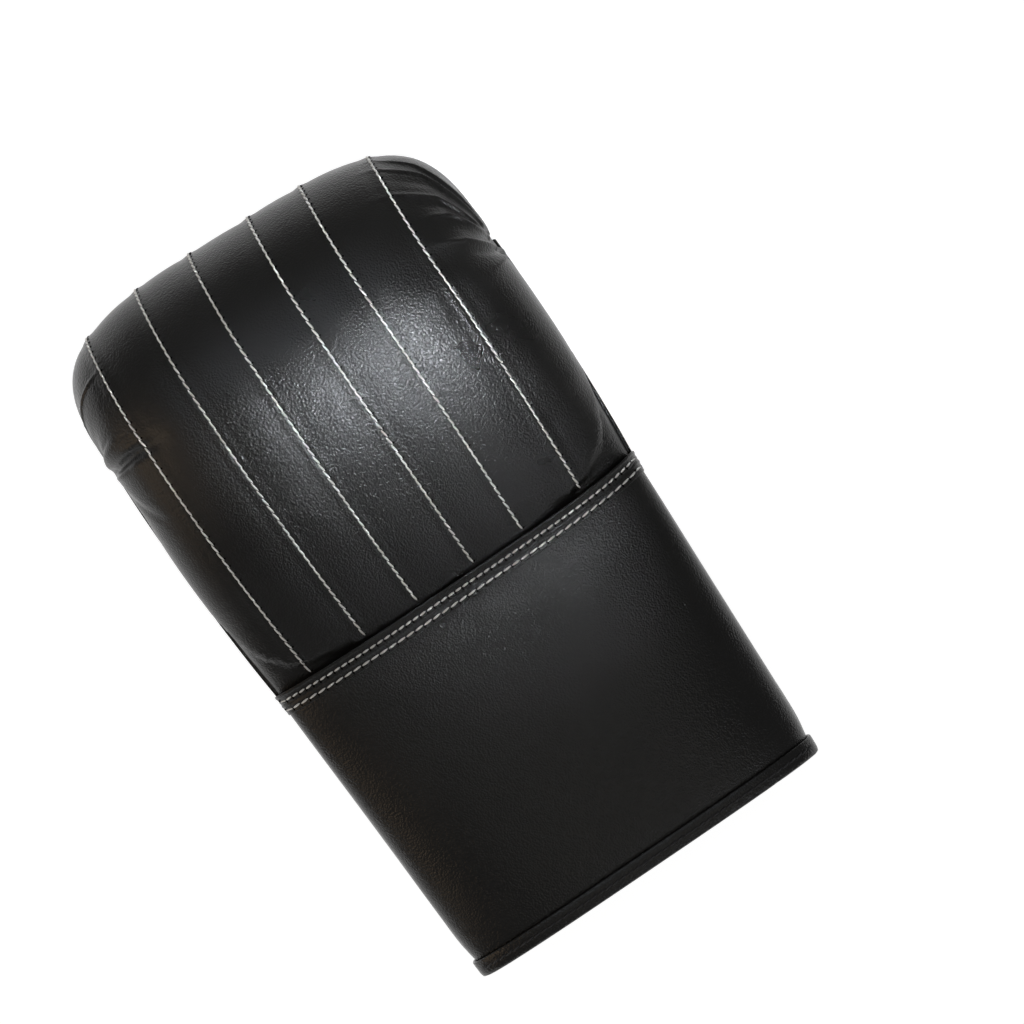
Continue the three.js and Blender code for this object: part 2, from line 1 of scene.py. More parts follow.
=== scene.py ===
"""Black bag glove for the left hand, lying palm down on a white table."""

import math
from collections import namedtuple

import bmesh
import bpy
from mathutils import Matrix, Vector, noise
from mathutils.bvhtree import BVHTree


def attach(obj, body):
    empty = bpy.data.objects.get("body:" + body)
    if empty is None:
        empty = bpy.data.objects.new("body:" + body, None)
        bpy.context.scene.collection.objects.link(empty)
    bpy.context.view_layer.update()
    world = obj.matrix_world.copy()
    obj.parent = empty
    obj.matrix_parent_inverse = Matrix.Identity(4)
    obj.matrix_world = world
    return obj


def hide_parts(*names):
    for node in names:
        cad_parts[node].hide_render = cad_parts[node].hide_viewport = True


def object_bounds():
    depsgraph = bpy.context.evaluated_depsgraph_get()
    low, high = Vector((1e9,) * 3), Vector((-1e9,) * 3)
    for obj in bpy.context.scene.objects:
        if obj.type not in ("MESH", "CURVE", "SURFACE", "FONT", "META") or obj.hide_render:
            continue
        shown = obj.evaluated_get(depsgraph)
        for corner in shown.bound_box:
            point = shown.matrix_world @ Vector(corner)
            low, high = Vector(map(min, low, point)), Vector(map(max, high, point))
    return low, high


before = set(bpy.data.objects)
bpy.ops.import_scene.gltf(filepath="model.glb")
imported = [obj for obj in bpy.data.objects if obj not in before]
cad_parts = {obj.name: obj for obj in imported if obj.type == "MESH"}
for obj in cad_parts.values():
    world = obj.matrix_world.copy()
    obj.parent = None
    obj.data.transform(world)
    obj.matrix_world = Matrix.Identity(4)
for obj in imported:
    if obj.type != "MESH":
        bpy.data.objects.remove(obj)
cad_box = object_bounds()

# Back pad. Foam under thin black PU leather, quilted through in six rows that run from the seam
# band over the knuckles to a cross row. Beyond it a smooth crescent turns down to the fist pad.
MM = 0.001
HEM_Y = cad_box[0].y
CURL_FROM_HEM = 231  # centre of the curl about the knuckles
CURL_Z = 44
CURL_RUN = 48  # mm along the back for each radian about the curl
FIST_HALF = 82.5  # half the glove's width in mm at the rows over the fist
JOINT_FROM_HEM = 126.3  # where the cuff meets the back pad, under the seam band
KNUCKLE_SLANT = 0.031  # the fist is this much further back for each mm towards the thumb
OUTLINE = [  # half the glove's width by the distance from its hem
    (0, 75.4),
    (7.4, 75.8),
    (14.3, 77.4),
    (37, 78.0),
    (74, 79.2),
    (100, 79.8),
    (125, 80.6),
    (139, 81.4),
    (153, 82.1),
    (172, 82.8),
    (186, 83.0),
    (213, 83.0),
    (231, 82.5),
]
ROWS = (-0.795, -0.492, -0.205, 0.104, 0.375, 0.7)  # as shares of the half width
STITCH = 3.4
CROSS_ROW_TURN = 94  # degrees about the curl from straight up
SEAM_TURN_MIDDLE, SEAM_TURN_SIDES = 139, 97  # the curved seam with the fist pad, in degrees
SEAM_HALF = 0.76  # share of the half width over which that seam rises to the sides


def blend(a, b, share):
    return a + (b - a) * share


def ease(start, end, value):
    share = min(1.0, max(0.0, (value - start) / (end - start)))
    return share * share * (3 - 2 * share)


def mound(away, width):
    """1 in the middle of a mound, a third of that at its width and nearly 0 at twice its width."""
    return math.exp(-((away / width) ** 2))


def hem_distance(point):
    """The way in mm from the hem's line to a point, along the glove."""
    return (point.y - HEM_Y) / MM


def half_width(from_hem):
    """Half the glove's width in mm at a distance from the hem."""
    for (y0, w0), (y1, w1) in zip(OUTLINE, OUTLINE[1:]):
        if from_hem <= y1:
            return blend(w0, w1, max(0.0, (from_hem - y0) / (y1 - y0)))
    return OUTLINE[-1][1]


def curl_reach(across, above):
    """How far the curl reaches out and up, or down, from its centre in mm."""
    share = (1 - min(1.0, abs(across)) ** 3) ** (1 / 3)
    return 5 + 50 * share, 5 + (35 if above else 40.6) * share


def slant(x, from_hem):
    """How far back in mm the slanted line of the knuckles puts a point."""
    return KNUCKLE_SLANT * x * ease(JOINT_FROM_HEM, CURL_FROM_HEM, from_hem)


def along_curl(turn):
    """The way in mm along the back from the hem to an angle past the top of the curl."""
    return CURL_FROM_HEM + math.radians(turn) * CURL_RUN


def glove_place(point):
    """A point as (share across, mm along the back from the hem, degrees about the curl)."""
    from_hem = hem_distance(point)
    from_hem += slant(point.x / MM, from_hem)
    up = point.z / MM - CURL_Z
    across = point.x / MM / half_width(from_hem)
    out, over = curl_reach(across, up > 0)
    turn = math.degrees(math.atan2(from_hem - CURL_FROM_HEM, up * out / over))
    if turn < -90:
        turn += 360
    along = from_hem if turn <= 0 else along_curl(turn)
    return across, along, turn


def seam_turn(across):
    """Where the back pad meets the fist pad, in degrees about the curl."""
    share = min(1.0, abs(across) / SEAM_HALF) ** 2.2
    return blend(SEAM_TURN_MIDDLE, SEAM_TURN_SIDES, share)


def wave(point, size_mm, seed=0.0):
    """Smooth noise from -1 to 1 whose bumps are about size_mm across."""
    return noise.noise(point / (size_mm * MM) + Vector((seed, seed * 1.7, seed * 0.3)))


def soft_copy(node, name, levels=2, crease=0.85):
    """A CAD solid as a smooth leather piece: its facets joined to quads and subdivided."""
    piece = bpy.data.objects.new(name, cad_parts[node].data.copy())
    bpy.context.scene.collection.objects.link(piece)
    bm = bmesh.new()
    bm.from_mesh(piece.data)
    bmesh.ops.remove_doubles(bm, verts=bm.verts, dist=0.02 * MM)
    bmesh.ops.join_triangles(
        bm,
        faces=bm.faces,
        angle_face_threshold=math.radians(40),
        angle_shape_threshold=math.radians(60),
    )
    crease_layer = bm.edges.layers.float.new("crease_edge")
    for edge in bm.edges:
        if edge.is_manifold and edge.calc_face_angle(0) > math.radians(50):
            edge[crease_layer] = crease
    bm.to_mesh(piece.data)
    bm.free()
    finish_with(piece, "SUBSURF", levels=levels, render_levels=levels)
    return piece


def finish_with(piece, kind, **settings):
    """Adds a modifier to a piece and applies it to the mesh."""
    modifier = piece.modifiers.new(kind.title(), kind)
    for name, value in settings.items():
        setattr(modifier, name, value)
    evaluated = piece.evaluated_get(bpy.context.evaluated_depsgraph_get())
    old = piece.data
    piece.data = bpy.data.meshes.new_from_object(evaluated)
    piece.modifiers.remove(modifier)
    bpy.data.meshes.remove(old)


def sculpt(piece, move):
    """Shifts each point of a piece by what move(point, normal) gives, in metres."""
    bm = bmesh.new()
    bm.from_mesh(piece.data)
    bm.normal_update()
    shifts = [move(v.co, v.normal) for v in bm.verts]
    for v, shift in zip(bm.verts, shifts):
        v.co += shift
    bm.to_mesh(piece.data)
    bm.free()


def linear(colour):
    """An sRGB hex colour as linear RGBA."""
    channels = [int(colour[i : i + 2], 16) / 255 for i in (1, 3, 5)]
    return [c / 12.92 if c <= 0.04045 else ((c + 0.055) / 1.055) ** 2.4 for c in channels] + [1]


def add_node(tree, kind, settings=None, links=None):
    """Adds a shader node with its properties, its inputs' values and its links."""
    made = tree.nodes.new("ShaderNode" + kind)
    for name, value in (settings or {}).items():
        if isinstance(name, int) or name in made.inputs:
            made.inputs[name].default_value = value
        else:
            setattr(made, name, value)
    for name, source in (links or {}).items():
        tree.links.new(source, made.inputs[name])
    return made


def new_material(name):
    material = bpy.data.materials.new(name)
    material.use_nodes = True
    tree = material.node_tree
    tree.nodes.clear()
    return material, tree


def pu_leather(name, colour, worn, roughness, grain_mm=0.75, depth_mm=0.13):
    """Polyurethane-coated leather: a black film embossed with a fine pebble grain over cloth.

    The film gives a soft, broad shine that the grain breaks up, and its shine and tone
    vary a little in broad random patches.
    """
    material, tree = new_material(name)
    place = add_node(tree, "TexCoord").outputs["Object"]
    warp = add_node(tree, "TexNoise", {"Scale": 420.0, "Detail": 2.0}, {"Vector": place})
    shifted = add_node(
        tree,
        "VectorMath",
        {"operation": "MULTIPLY_ADD", 1: (0.0009,) * 3},
        {0: warp.outputs["Color"], 2: place},
    )
    cells = add_node(
        tree,
        "TexVoronoi",
        {"feature": "SMOOTH_F1", "Scale": 1000 / grain_mm, "Smoothness": 0.6},
        {"Vector": shifted.outputs["Vector"]},
    )
    pores = add_node(
        tree, "TexNoise", {"Scale": 2600.0, "Detail": 3.0, "Roughness": 0.6}, {"Vector": place}
    )
    patches = add_node(tree, "TexNoise", {"Scale": 28.0, "Detail": 4.0}, {"Vector": place})
    grain = add_node(
        tree,
        "MapRange",
        {"From Min": 0.1, "From Max": 0.75, "To Min": 1.0, "To Max": 0.0},
        {"Value": cells.outputs["Distance"]},
    )
    pebbles = add_node(
        tree,
        "Bump",
        {"Strength": 0.8, "Distance": depth_mm * MM},
        {"Height": grain.outputs["Result"]},
    )
    fine = add_node(
        tree,
        "Bump",
        {"Strength": 0.5, "Distance": 0.02 * MM},
        {"Height": pores.outputs["Fac"], "Normal": pebbles.outputs["Normal"]},
    )
    shade = add_node(
        tree,
        "Mix",
        {"data_type": "RGBA", 6: linear(colour), 7: linear(worn)},
        {0: patches.outputs["Fac"]},
    )
    shine = add_node(
        tree,
        "MapRange",
        {"From Min": 0.3, "From Max": 0.7, "To Min": roughness - 0.05, "To Max": roughness + 0.06},
        {"Value": patches.outputs["Fac"]},
    )
    surface = add_node(
        tree,
        "BsdfPrincipled",
        {"IOR": 1.5, "Specular IOR Level": 0.5},
        {
            "Base Color": shade.outputs[2],
            "Roughness": shine.outputs["Result"],
            "Normal": fine.outputs["Normal"],
        },
    )
    output = add_node(tree, "OutputMaterial")
    tree.links.new(surface.outputs["BSDF"], output.inputs["Surface"])
    return material


def dress(piece, material, slot, *nodes):
    """Gives a piece its material and smooth shading, hangs it on the root body and hides the CAD
    nodes it stands for.
    """
    piece.data.materials.clear()
    piece.data.materials.append(material)
    piece.data.polygons.foreach_set("use_smooth", [True] * len(piece.data.polygons))
    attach(piece, "root")
    if nodes:
        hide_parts(*nodes)


def row_drift(along):
    """How far in mm the rows bend towards the thumb where they go over the knuckles."""
    return 2.2 * ease(235, 300, along)


def row_at(across, along):
    """The way in mm to the nearest quilting row."""
    offsets = [(across - row) * FIST_HALF - row_drift(along) for row in ROWS]
    return min(offsets, key=abs)


def band_bow(point):
    """The joint under the seam band bows towards the knuckles at its ends, most at the thumb's."""
    near = mound(hem_distance(point) - JOINT_FROM_HEM, 12)
    share = min(1.0, abs(point.x) / (80 * MM))
    bow = 3.6 * share**5 if point.x > 0 else 2.0 * share**3
    return Vector((0, bow * near * MM, 0))


# A fold beside the curl: the side, its angle in degrees at the rim, a little inward and at its end,
# how far it reaches in as a share of the half width, its depth in mm, which is negative for a
# ridge, and its width in mm.
Fold = namedtuple("Fold", "side rim middle end reach depth width")
FOLDS = [
    Fold(1, 25, 62, 73, 0.36, -0.9, 0.9),
    Fold(1, 20, 57, 68, 0.32, 0.5, 1.5),
    Fold(1, 15, 51, 61, 0.42, -0.9, 0.9),
    Fold(1, 8, 43, 51, 0.36, 0.6, 2.0),
    Fold(1, 0, 33, 40, 0.46, -0.7, 0.8),
    Fold(1, -1, 27, 32, 0.34, 0.7, 1.6),
    Fold(1, -1, 21, 23, 0.3, -1.0, 0.8),
    Fold(1, -8, 12, 16, 0.26, 0.7, 2.2),
    Fold(1, -15, 4, 11, 0.28, -1.0, 0.8),
    Fold(1, -20, -4, 0, 0.2, 0.8, 1.4),
    Fold(1, -28, -18, -18, 0.11, -0.9, 0.8),
    Fold(1, -14, -7, 2, 0.62, 0.7, 3.2),
    Fold(1, -24, -20, -10, 0.62, -0.4, 3.8),
    Fold(1, 84, 88, 92, 0.3, 0.9, 1.5),
    Fold(1, 116, 113, 110, 0.3, 0.9, 1.7),
    Fold(1, 145, 140, 135, 0.3, 0.8, 2.0),
    Fold(-1, 56, 50.5, 47, 0.28, -0.7, 0.7),
    Fold(-1, 22, 17, 15, 0.1, 0.6, 0.8),
    Fold(-1, 15, 13, 12, 0.14, -0.9, 2.0),
    Fold(-1, -1, 1, 0, 0.36, 2.4, 1.5),
    Fold(-1, -6, -4, -5, 0.09, -1.2, 1.1),
    Fold(-1, -33, -40, -46, 0.15, 0.5, 2.2),
    Fold(-1, 92, 94, 96, 0.3, 0.8, 1.6),
    Fold(-1, 122, 117, 112, 0.3, 0.9, 1.8),
    Fold(-1, 148, 143, 138, 0.3, 0.8, 2.0),
]
RIM_NOTCHES = (232.8, 226.4, 222)  # where the thumb side's last folds cross the rim, from the hem


def notch_depth(point, side, inward):
    """Depth in mm of the short notches that the folds leave in the glove's outline."""
    if side < 0 or inward > 0.1:
        return 0.0
    from_hem = hem_distance(point)
    from_hem += slant(point.x / MM, from_hem)
    depth = 0.8 * sum(mound(from_hem - place, 1.1) for place in RIM_NOTCHES)
    return depth * mound(point.z / MM - CURL_Z, 12) * (1 - ease(0.02, 0.1, inward))


def gather_depth(point):
    """Depth in mm of the folds that run out of the gathered eye at each side of the curl."""
    across, _, turn = glove_place(point)
    side = 1 if across > 0 else -1
    inward = 1 - abs(across)
    if inward > 0.62:
        return 0.0
    from_centre = math.hypot(hem_distance(point) - CURL_FROM_HEM, point.z / MM - CURL_Z)
    near = math.sqrt(min(1.0, max(0.0, inward - 0.02) / 0.1))
    far = min(1.0, max(0.0, inward - 0.12) / 0.18)
    depth = 0.0
    for fold in FOLDS:
        if fold.side != side or inward > fold.reach:
            continue
        fold_turn = blend(fold.rim, fold.middle, near) + (fold.end - fold.middle) * far
        away = math.radians(turn - fold_turn) * from_centre
        width = fold.width * (1 + 0.5 * far)
        if abs(away) < 3 * width:
            strength = 1 - ease(0.2 * fold.reach, fold.reach, inward)
            depth += fold.depth * strength * mound(away, width)
    return depth * ease(4, 14, from_centre) + notch_depth(point, side, inward)


def back_skin(point, normal):
    """The pad's outer face: quilted rows with a tuck at each stitch, folds and the two seams."""
    across, along, turn = glove_place(point)
    out = Vector((0, point.y - HEM_Y - CURL_FROM_HEM * MM if turn > 0 else 0, point.z - 0.02))
    if normal.dot(out) < 0 and abs(across) < 0.93:
        return band_bow(point)
    off = row_at(across, along)
    sewn = ease(133, 139, along) * (1 - ease(CROSS_ROW_TURN - 6, CROSS_ROW_TURN, turn))
    sewn *= 1 - ease(7, 11, abs(off))
    pull = 0.14 * mound(off, 0.8) - 0.38 * (1 - ease(0.2, 4, abs(off)))
    phase = 2 * math.pi * along / STITCH + 2.2 * wave(point, 9, 3)
    tuck = math.cos(phase) * math.exp(-abs(off) / 1.8) * (0.7 + 0.6 * wave(point, 6, 5))
    depth = sewn * (pull + 0.06 * tuck)
    depth += 0.35 * wave(point, 38, 1) * ease(128, 150, along)
    depth += gather_depth(point)
    cross = math.radians(turn - CROSS_ROW_TURN) * 45
    if abs(across) < 0.72 and turn > 60:
        depth += 0.7 * mound(cross, 1.3)
    to_seam = math.radians(seam_turn(across) - turn) * 42
    if turn > 60:
        depth += 1.1 * mound(max(0.0, to_seam), 2.2)
    return normal * (-depth * MM) + band_bow(point)


leather = pu_leather("black_pu_leather", "#0b0a09", "#11100e", 0.32)
back_pad = soft_copy("back_pad", "back_pad_quilted")


def refine(piece, longest):
    """Halves a piece's edges, twice at most, where they are longer than longest(edge) in mm."""
    bm = bmesh.new()
    bm.from_mesh(piece.data)
    for _ in range(2):
        long_edges = [e for e in bm.edges if e.calc_length() > longest(e) * MM]
        bmesh.ops.subdivide_edges(bm, edges=long_edges, cuts=1, use_grid_fill=True)
        bmesh.ops.triangulate(bm, faces=[f for f in bm.faces if len(f.verts) > 4])
    bm.to_mesh(piece.data)
    bm.free()


COARSE = 100  # mm, longer than any edge, where a piece stays as it is


def back_detail(edge):
    """Fine edges along the rows, where each stitch puckers the leather, and at the folds."""
    start, end = edge.verts
    across, along, turn = glove_place((start.co + end.co) / 2)
    if start.normal.dot(Vector((0, turn * 0.01, 1))) < 0.1 and abs(across) < 0.9:
        return COARSE
    if abs(across) > 0.62 and turn > -50:
        return 0.6 if turn < 90 else 1.1
    if across > 0.9 and along > 214:
        return 0.8
    if turn < CROSS_ROW_TURN + 4 and along > 130 and abs(row_at(across, along)) < 5:
        return 0.9
    return COARSE


def soften(piece, chosen, times):
    """Relaxes the points of a piece that chosen(vertex) picks."""
    bm = bmesh.new()
    bm.from_mesh(piece.data)
    bm.normal_update()
    picked = [v for v in bm.verts if chosen(v)]
    for _ in range(times):
        bmesh.ops.smooth_vert(
            bm, verts=picked, factor=0.5, use_axis_x=True, use_axis_y=True, use_axis_z=True
        )
    bm.to_mesh(piece.data)
    bm.free()


def near_corner(vertex):
    """Whether a point lies on the pad's outer side near the ends of the seam band."""
    outside = abs(vertex.co.x) > 56 * MM and vertex.normal.z > 0.15
    return outside and 130 < hem_distance(vertex.co) < 168


soften(back_pad, near_corner, 40)
refine(back_pad, back_detail)
sculpt(back_pad, back_skin)
dress(back_pad, leather, "leather", "back_pad")


def skin_tree(piece):
    """A search tree over a piece's faces, to find where a ray meets it."""
    bm = bmesh.new()
    bm.from_mesh(piece.data)
    tree = BVHTree.FromBMesh(bm)
    bm.free()
    return tree


def from_above(tree, x, y):
    """Where a skin lies at x, y as seen from above, as (point, normal)."""
    hit, normal, _, _ = tree.ray_cast(Vector((x, y, 0.3)), Vector((0, 0, -1)))
    return (hit, normal) if hit else None


def from_below(tree, x, y):
    """Where a skin lies at x, y as seen from below, as (point, normal)."""
    hit, normal, _, _ = tree.ray_cast(Vector((x, y, -0.1)), Vector((0, 0, 1)))
    return (hit, normal) if hit else None


def leaned(x, from_hem):
    """The y of a place so far from the hem in mm, with the slant of the knuckles."""
    return HEM_Y + (from_hem - slant(x / MM, from_hem)) * MM


def round_curl(tree, x, turn):
    """Where a ray towards the centre of the curl meets a skin."""
    reach, over = curl_reach(x / MM / FIST_HALF, turn < 90)
    turn = math.radians(turn)
    out = Vector((0, reach * math.sin(turn), over * math.cos(turn))).normalized()
    centre = Vector((x, leaned(x, CURL_FROM_HEM), CURL_Z * MM))
    hit, normal, _, _ = tree.ray_cast(centre + out * 150 * MM, -out)
    return (hit, normal) if hit else None


def white_thread():
    """Bonded polyester thread, twisted of two plies: white, soft-edged and slightly glossy, with
    painted shade in the grooves between the plies.
    """
    material, tree = new_material("white_polyester_thread")
    uv = add_node(tree, "UVMap")
    twist = add_node(
        tree,
        "TexWave",
        {"wave_type": "BANDS", "bands_direction": "DIAGONAL", "Scale": 4.0, "Distortion": 0.4},
        {"Vector": uv.outputs["UV"]},
    )
    bump = add_node(
        tree, "Bump", {"Strength": 0.5, "Distance": 0.08 * MM}, {"Height": twist.outputs["Fac"]}
    )
    # The darker white falls in the twist's grooves and the paler one on its crests: painted shade
    # between the plies.
    shade = add_node(
        tree,
        "Mix",
        {"data_type": "RGBA", 6: linear("#e2e1dc"), 7: linear("#fdfcf8")},
        {0: twist.outputs["Fac"]},
    )
    surface = add_node(
        tree,
        "BsdfPrincipled",
        {"Roughness": 0.55, "Sheen Weight": 0.3},
        {"Base Color": shade.outputs[2], "Normal": bump.outputs["Normal"]},
    )
    output = add_node(tree, "OutputMaterial")
    tree.links.new(surface.outputs["BSDF"], output.inputs["Surface"])
    return material


# HOLE_BESIDE and HOLE_HALVES place and size the dark spots painted as the shadow in each needle
# hole.
HOLE_BESIDE = 0.6  # mm from the end of a stitch to its needle hole
HOLE_HALVES = (0.6, 0.42, 0.26)  # half the hole's size in mm across, along and out of the leather


def sew(name, rows, material, slot, pitch=STITCH, length=1.3, thick=0.4, turned=9, lift=0.12):
    """Stitches along rows of (point, normal), each a short thread that dips in at both ends.

    Beside each end of a white stitch a small dark spot is painted as the shadow in its needle hole.
    """
    pierced = material == thread
    bm, shadow_spots = bmesh.new(), bmesh.new()
    bm.loops.layers.uv.new("UVMap")
    for row in rows:
        row = [place for place in row if place]
        lengths = [(b[0] - a[0]).length / MM for a, b in zip(row, row[1:])]
        count = max(1, round(sum(lengths) / pitch))
        step = sum(lengths) / count
        for k in range(count):
            target = (k + 0.5) * step
            i = 0
            while i < len(lengths) - 1 and target > lengths[i]:
                target -= lengths[i]
                i += 1
            share = target / lengths[i]
            middle = row[i][0].lerp(row[i + 1][0], share)
            up = row[i][1].lerp(row[i + 1][1], share).normalized()
            along = (row[i + 1][0] - row[i][0]).normalized()
            up = (up - along * up.dot(along)).normalized()
            jitter = 2.5 * math.sin(k * 12.9898)
            along = Matrix.Rotation(math.radians(turned + jitter), 3, up) @ along
            side = up.cross(along)
            middle = middle + up * (lift * MM)
            reach = step * length / 2 * MM
            # Beside the stitch's end a small dark spot is painted as the shadow in its needle hole.
            if pierced:
                hole = middle - along * (step * MM / 2) - side * (HOLE_BESIDE * MM)
                shape = Matrix.Diagonal([half * MM for half in HOLE_HALVES] + [1])
                turn = Matrix((side, along, up)).transposed().to_4x4()
                bmesh.ops.create_uvsphere(
                    shadow_spots,
                    u_segments=6,
                    v_segments=4,
                    radius=1,
                    matrix=Matrix.Translation(hole - up * (lift * MM)) @ turn @ shape,
                )
            axes = Matrix((along * reach, side * thick * MM, up * thick * MM)).transposed()
            place = Matrix.Translation(middle) @ axes.to_4x4()
            place = place @ Matrix.Rotation(math.pi / 2, 4, "Y")
            made = bmesh.ops.create_uvsphere(
                bm, u_segments=6, v_segments=6, radius=1, matrix=place, calc_uvs=True
            )
            for v in made["verts"]:
                away = (v.co - middle).dot(along) / reach
                v.co += up * ((0.25 - away * away) * thick * MM)
    # The white rows' dark spots are painted shadow for their needle holes.
    for made, label, look in ((bm, name, material), (shadow_spots, name + "_needle_hole_shadows", painted_hole_shadow)):
        if made.verts:
            mesh = bpy.data.meshes.new(label)
            made.to_mesh(mesh)
            part = bpy.data.objects.new(label, mesh)
            bpy.context.scene.collection.objects.link(part)
            dress(part, look, slot)
        made.free()


def hole_shadow_material():
    """Painted shadow in a needle hole: a matt, near-black spot, darker than the film around it."""
    material, tree = new_material("painted_hole_shadow")
    settings = {"Base Color": linear("#050505"), "Roughness": 1.0, "Specular IOR Level": 0.1}
    surface = add_node(tree, "BsdfPrincipled", settings)
    output = add_node(tree, "OutputMaterial")
    tree.links.new(surface.outputs["BSDF"], output.inputs["Surface"])
    return material


thread = white_thread()
painted_hole_shadow = hole_shadow_material()
back_tree = skin_tree(back_pad)


def quilting_row(share):
    """A row over the knuckles, from the seam band to the cross row."""
    places = []
    for from_hem in [133 + k for k in range(98)]:
        x = share * half_width(from_hem) * MM
        places.append(from_above(back_tree, x, leaned(x, from_hem)))
    for turn in range(0, CROSS_ROW_TURN, 2):
        x = (share * FIST_HALF + row_drift(along_curl(turn))) * MM
        places.append(round_curl(back_tree, x, turn))
    return places


sew("quilting_stitches", [quilting_row(share) for share in ROWS], thread, "leather")
cross_row = [round_curl(back_tree, k * 0.59 * MM, CROSS_ROW_TURN) for k in range(-100, 101)]
seam_row = [
    round_curl(back_tree, k * 0.61 * MM, seam_turn(k * 0.61 / 82) - 3.5) for k in range(-100, 101)
]
sew("crescent_stitches", [cross_row, seam_row], thread, "leather")

# Fist pad. A smooth dome of foam under the same leather, sewn to the back pad along the curved
# seam, with a free far edge over the palm.


def fist_skin(point, normal):
    """The dome's outer face: soft waves, folds at the sides and the seam with the back pad."""
    across, _, turn = glove_place(point)
    if normal.z > 0.3 and turn > 150:
        return Vector((0, 0, 0))
    depth = 0.3 * wave(point, 40, 7) + gather_depth(point)
    to_seam = math.radians(turn - seam_turn(across)) * 45
    if 60 < turn < 180:
        depth += 1.1 * mound(max(0.0, to_seam), 2.2)
    shift = normal * (-depth * MM)
    shift.z = max(shift.z, -point.z)
    return shift


def fist_detail(edge):
    """Fine edges at the folds beside the curl."""
    across, _, turn = glove_place((edge.verts[0].co + edge.verts[1].co) / 2)
    return 1.2 if abs(across) > 0.72 and 60 < turn < 190 else COARSE


fist_pad = soft_copy("fist_pad", "fist_pad_dome")
refine(fist_pad, fist_detail)
sculpt(fist_pad, fist_skin)
dress(fist_pad, leather, "leather", "fist_pad")

# Cuff. One plain sheet of leather over the back of the wrist, slack between hem and seam band.


def cuff_drape(point, normal):
    """Slow waves in the slack sheet, and the puff where it goes under the seam band."""
    from_hem = hem_distance(point)
    calm = ease(4, 24, from_hem) * (1 - ease(102, 119, from_hem))
    edge = 1 - ease(0.8, 1.0, abs(point.x / MM) / half_width(from_hem))
    flat = Vector((point.x * 0.7, point.y, 0))
    lift = 0.45 * wave(flat, 60, 11) + 0.08 * wave(flat, 17, 12)
    puff = 0.5 * mound(from_hem - 118, 3.5)
    return Vector((0, 0, (lift * calm * edge + puff * edge) * MM)) + band_bow(point)


cuff = soft_copy("cuff", "cuff_sheet", levels=3)
sculpt(cuff, cuff_drape)
dress(cuff, leather, "leather", "cuff")

# Palm. The lower sheet of the wrist and hand, with the thumb's hole. The elastic ruches it at
# the wrist, and the folding hand has left soft creases across its heel.


RUCHES = ((83, 12), (35, 9))  # the elastic's edges from the hem, and how far their ruches run


def palm_drape(point, normal):
    """Ruches beside the elastic, creases across the heel of the hand and slow waves."""
    from_hem = hem_distance(point)
    across = abs(point.x / MM) / half_width(from_hem)
    edge = 1 - ease(0.82, 0.99, across)
    flat = Vector((point.x, point.y, 0))
    ruche = 0.0
    for border, run in RUCHES:
        fade = math.exp(-abs(from_hem - border) / run)
        ruche += fade * 0.9 * wave(Vector((point.x, point.y * 0.2, 0)), 9, 21)
    under = ease(33, 36, from_hem) * (1 - ease(82, 85, from_hem))
    calm = ease(4, 12, from_hem) * (1 - ease(208, 222, from_hem)) * (1 - under)
    heel = mound(from_hem - 108, 16) * 1.3 * wave(flat, 24, 23)
    lift = (ruche + heel + 0.8 * wave(flat, 38, 22)) * calm * edge
    return Vector((0, 0, max(lift * MM, 0.0003 - point.z))) + band_bow(point)


palm = soft_copy("palm", "palm_sheet")
sculpt(palm, palm_drape)
dress(palm, leather, "leather", "palm")
palm_tree = skin_tree(palm)


def side_row(side, inset, start, end):
    """A row along a side seam of the palm, found from below."""
    places = []
    for from_hem in range(start, end):
        x = side * (half_width(from_hem) - inset) * MM
        places.append(from_below(palm_tree, x, HEM_Y + from_hem * MM))
    return places


def pocket_row(side, from_hem):
    """A row across one side of the palm where it is sewn to the finger pocket."""
    y = HEM_Y + from_hem * MM
    return [from_below(palm_tree, side * (64 + k * 0.5) * MM, y) for k in range(34)]


side_rows = [side_row(side, 2.4, 9, 212) for side in (-1, 1)]
pocket_rows = [pocket_row(side, y) for side in (-1, 1) for y in (215, 218.4)]
sew("palm_stitches", side_rows + pocket_rows, thread, "leather")

# Thumb pouch. A hollow sock of the same leather that folds across the palm. Its collar is sewn
# into the palm with two rows round the thumb's root.


def thumb_folds(point, normal):
    """Soft creases all over the sock, kept off the table."""
    lift = 0.7 * wave(point, 15, 31) + 0.3 * wave(point, 6, 32)
    shift = normal * (lift * MM)
    shift.z = max(shift.z, -point.z)
    return shift


thumb = soft_copy("thumb_pouch", "thumb_pouch_sock", levels=2)
sculpt(thumb, thumb_folds)
dress(thumb, leather, "leather", "thumb_pouch")


HOLE_MIDDLE = (47.75, 139)  # the thumb's hole: mm across and from the hem
HOLE_REACH = (22.25, 34)  # half its size across and along
HOLE_LEAN = -0.2  # mm that it leans across for each mm along
HOLE_POWER = 2 / 2.3  # a little squarer than an ellipse


def thumb_hole(angle, out):
    """A place beside the thumb's hole, out mm from its edge, found on the palm from below."""
    across, along = math.sin(math.radians(angle)), math.cos(math.radians(angle))
    from_middle = (HOLE_REACH[1] + out) * math.copysign(abs(along) ** HOLE_POWER, along)
    x = HOLE_MIDDLE[0] + (HOLE_REACH[0] + out) * math.copysign(abs(across) ** HOLE_POWER, across)
    x += HOLE_LEAN * from_middle
    return from_below(palm_tree, x * MM, leaned(x * MM, HOLE_MIDDLE[1] + from_middle))


thumb_rows = [[thumb_hole(angle, out) for angle in range(-12, 236, 3)] for out in (2.2, 5.4)]
sew("thumb_stitches", thumb_rows, thread, "leather")

# Finger pocket. The inner sheet that carries the palm on behind the fingers.
pocket = soft_copy("finger_pocket", "finger_pocket_sheet")
dress(pocket, leather, "leather", "finger_pocket")

